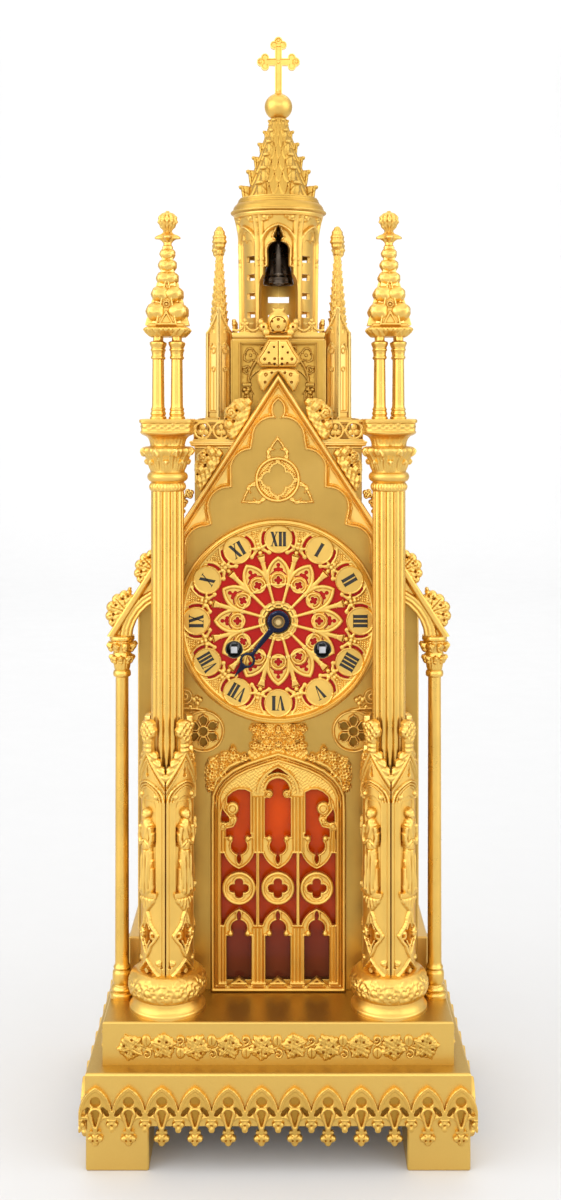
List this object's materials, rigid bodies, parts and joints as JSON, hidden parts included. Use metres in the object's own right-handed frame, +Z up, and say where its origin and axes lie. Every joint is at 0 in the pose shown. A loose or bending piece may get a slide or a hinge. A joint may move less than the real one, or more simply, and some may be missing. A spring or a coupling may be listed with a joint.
{
  "type": "steeple clock",
  "caption": "Gothic cathedral-style gilt mantel clock: traceried door, pierced dial with hour hand, crocketed gable and pinnacles, tower with lantern, bell and spire, striking movement inside.",
  "frame": {"origin": "centre of the bounding box's bottom, on the plane the four feet stand on", "axes": "+Z up through the spire, front of the clock faces -Y, +X to the right seen from the front"},
  "size_m": [0.205, 0.15, 0.606],
  "materials": {
    "gilt_bronze": "burnished gilt, darker in the recesses",
    "case_brass": "fine brushed, lacquered",
    "red_lacquer": "glossy crimson lacquer",
    "movement_brass": "polished brass",
    "steel": "polished steel",
    "blued_steel": "heat-blued steel, nearly black",
    "bell_bronze": "dark patinated bronze"
  },
  "bodies": {
    "case": {"aisle_roofs": "case_brass", "arcade_frieze": "gilt_bronze", "back_plate": "case_brass", "balustrade": "gilt_bronze", "base_course": "case_brass", "bell_stand": "steel", "bezel": "gilt_bronze", "case_walls": "case_brass", "corner_pinnacles": "gilt_bronze", "dial_backing": "red_lacquer", "dial_grille": "gilt_bronze", "door_panel": "red_lacquer", "door_tracery": "gilt_bronze", "facade_plate": "case_brass", "feet": "gilt_bronze", "flying_buttresses": "gilt_bronze", "gable_finial": "gilt_bronze", "gable_moulding": "gilt_bronze", "lantern": "gilt_bronze", "lantern_cornice": "gilt_bronze", "lower_plinth": "gilt_bronze", "movement_pillars": "movement_brass", "movement_plates": "movement_brass", "movement_seat": "movement_brass", "nave_cornice": "gilt_bronze", "pillar_bases": "gilt_bronze", "pillar_capitals": "gilt_bronze", "pillar_drums": "gilt_bronze", "pillar_shafts": "gilt_bronze", "pinnacle_colonnettes": "gilt_bronze", "pinnacle_spires": "gilt_bronze", "plinth_decks": "gilt_bronze", "rosettes": "gilt_bronze", "side_columns": "gilt_bronze", "spire": "gilt_bronze", "spire_finial": "gilt_bronze", "strike_bell": "bell_bronze", "suspension_cock": "movement_brass", "tower_walls": "gilt_bronze", "upper_plinth": "gilt_bronze", "vine_frieze": "gilt_bronze"},
    "back_door": {"back_door": "case_brass"},
    "tower_bell": {"tower_bell": "bell_bronze"},
    "going_barrel": {"going_barrel": "movement_brass"},
    "going_winding_arbor": {"going_winding_arbor": "steel"},
    "strike_barrel": {"strike_barrel": "movement_brass"},
    "strike_winding_arbor": {"strike_winding_arbor": "steel"},
    "intermediate_wheel": {"intermediate_wheel": "movement_brass"},
    "centre_wheel": {"centre_wheel": "movement_brass", "cannon_pinion": "steel"},
    "minute_wheel": {"minute_wheel": "movement_brass"},
    "hour_hand": {"hour_wheel": "movement_brass", "hour_hand": "blued_steel"},
    "third_wheel": {"third_wheel": "movement_brass"},
    "escape_wheel": {"escape_wheel": "movement_brass"},
    "anchor": {"anchor": "steel"},
    "pendulum": {"pendulum_rod": "steel", "pendulum_bob": "movement_brass"},
    "strike_pin_wheel": {"strike_pin_wheel": "movement_brass"},
    "hammer": {"hammer": "steel"}
  },
  "joints": [
    {"name": "back_door_hinge", "type": "hinge", "parent": "case", "child": "back_door", "pos_m": [-0.045, 0.0563, 0.1], "axis": [0, 0, 1], "range_deg": [0, 110]},
    {"name": "tower_bell_swing", "type": "hinge", "parent": "case", "child": "tower_bell", "pos_m": [0, 0.017, 0.494], "axis": [1, 0, 0], "range_deg": [-10, 10]},
    {"name": "third_wheel_turn", "type": "hinge", "parent": "case", "child": "third_wheel", "pos_m": [0, 0, 0.29214], "axis": [0, 1, 0], "continuous": true},
    {"name": "escape_wheel_turn", "type": "hinge", "parent": "case", "child": "escape_wheel", "pos_m": [0, 0, 0.30519], "axis": [0, 1, 0], "continuous": true},
    {"name": "centre_wheel_turn", "type": "hinge", "parent": "case", "child": "centre_wheel", "pos_m": [0, 0, 0.2755], "axis": [0, 1, 0], "continuous": true},
    {"name": "intermediate_wheel_turn", "type": "hinge", "parent": "case", "child": "intermediate_wheel", "pos_m": [0.01639, 0, 0.28164], "axis": [0, 1, 0], "continuous": true},
    {"name": "going_barrel_turn", "type": "hinge", "parent": "case", "child": "going_barrel", "pos_m": [0.0242, 0, 0.2599], "axis": [0, 1, 0], "continuous": true},
    {"name": "minute_wheel_turn", "type": "hinge", "parent": "case", "child": "minute_wheel", "pos_m": [0, 0, 0.2635], "axis": [0, 1, 0], "continuous": true},
    {"name": "hour_hand_turn", "type": "hinge", "parent": "case", "child": "hour_hand", "pos_m": [0, 0, 0.2755], "axis": [0, 1, 0], "continuous": true},
    {"name": "going_winding_turn", "type": "hinge", "parent": "case", "child": "going_winding_arbor", "pos_m": [0.0242, 0, 0.2599], "axis": [0, 1, 0], "continuous": true},
    {"name": "strike_winding_turn", "type": "hinge", "parent": "case", "child": "strike_winding_arbor", "pos_m": [-0.0242, 0, 0.2599], "axis": [0, 1, 0], "continuous": true},
    {"name": "strike_barrel_turn", "type": "hinge", "parent": "case", "child": "strike_barrel", "pos_m": [-0.0242, 0, 0.2599], "axis": [0, 1, 0], "continuous": true},
    {"name": "strike_pin_wheel_turn", "type": "hinge", "parent": "case", "child": "strike_pin_wheel", "pos_m": [-0.01639, 0, 0.28164], "axis": [0, 1, 0], "continuous": true},
    {"name": "pendulum_swing", "type": "hinge", "parent": "case", "child": "pendulum", "pos_m": [0, 0.033, 0.31579], "axis": [0, 1, 0], "range_deg": [-3.5, 3.5]},
    {"name": "anchor_rock", "type": "hinge", "parent": "case", "child": "anchor", "pos_m": [0, 0, 0.31579], "axis": [0, 1, 0], "range_deg": [-3.5, 3.5]},
    {"name": "hammer_lift", "type": "hinge", "parent": "case", "child": "hammer", "pos_m": [-0.038, 0, 0.2835], "axis": [0, 1, 0], "range_deg": [0, 12], "stiffness_Nm_per_rad": 0.02, "springref_deg": -11.46}
  ],
  "couplings": [
    {"joint": "escape_wheel_turn", "follows": "third_wheel_turn", "ratio": -11.429},
    {"joint": "centre_wheel_turn", "follows": "third_wheel_turn", "ratio": -0.083333},
    {"joint": "intermediate_wheel_turn", "follows": "third_wheel_turn", "ratio": 0.013889},
    {"joint": "going_barrel_turn", "follows": "third_wheel_turn", "ratio": -0.0023148},
    {"joint": "minute_wheel_turn", "follows": "third_wheel_turn", "ratio": 0.027778},
    {"joint": "hour_hand_turn", "follows": "third_wheel_turn", "ratio": -0.0069444},
    {"joint": "strike_pin_wheel_turn", "follows": "strike_barrel_turn", "ratio": -6},
    {"joint": "anchor_rock", "follows": "pendulum_swing", "ratio": 1}
  ]
}
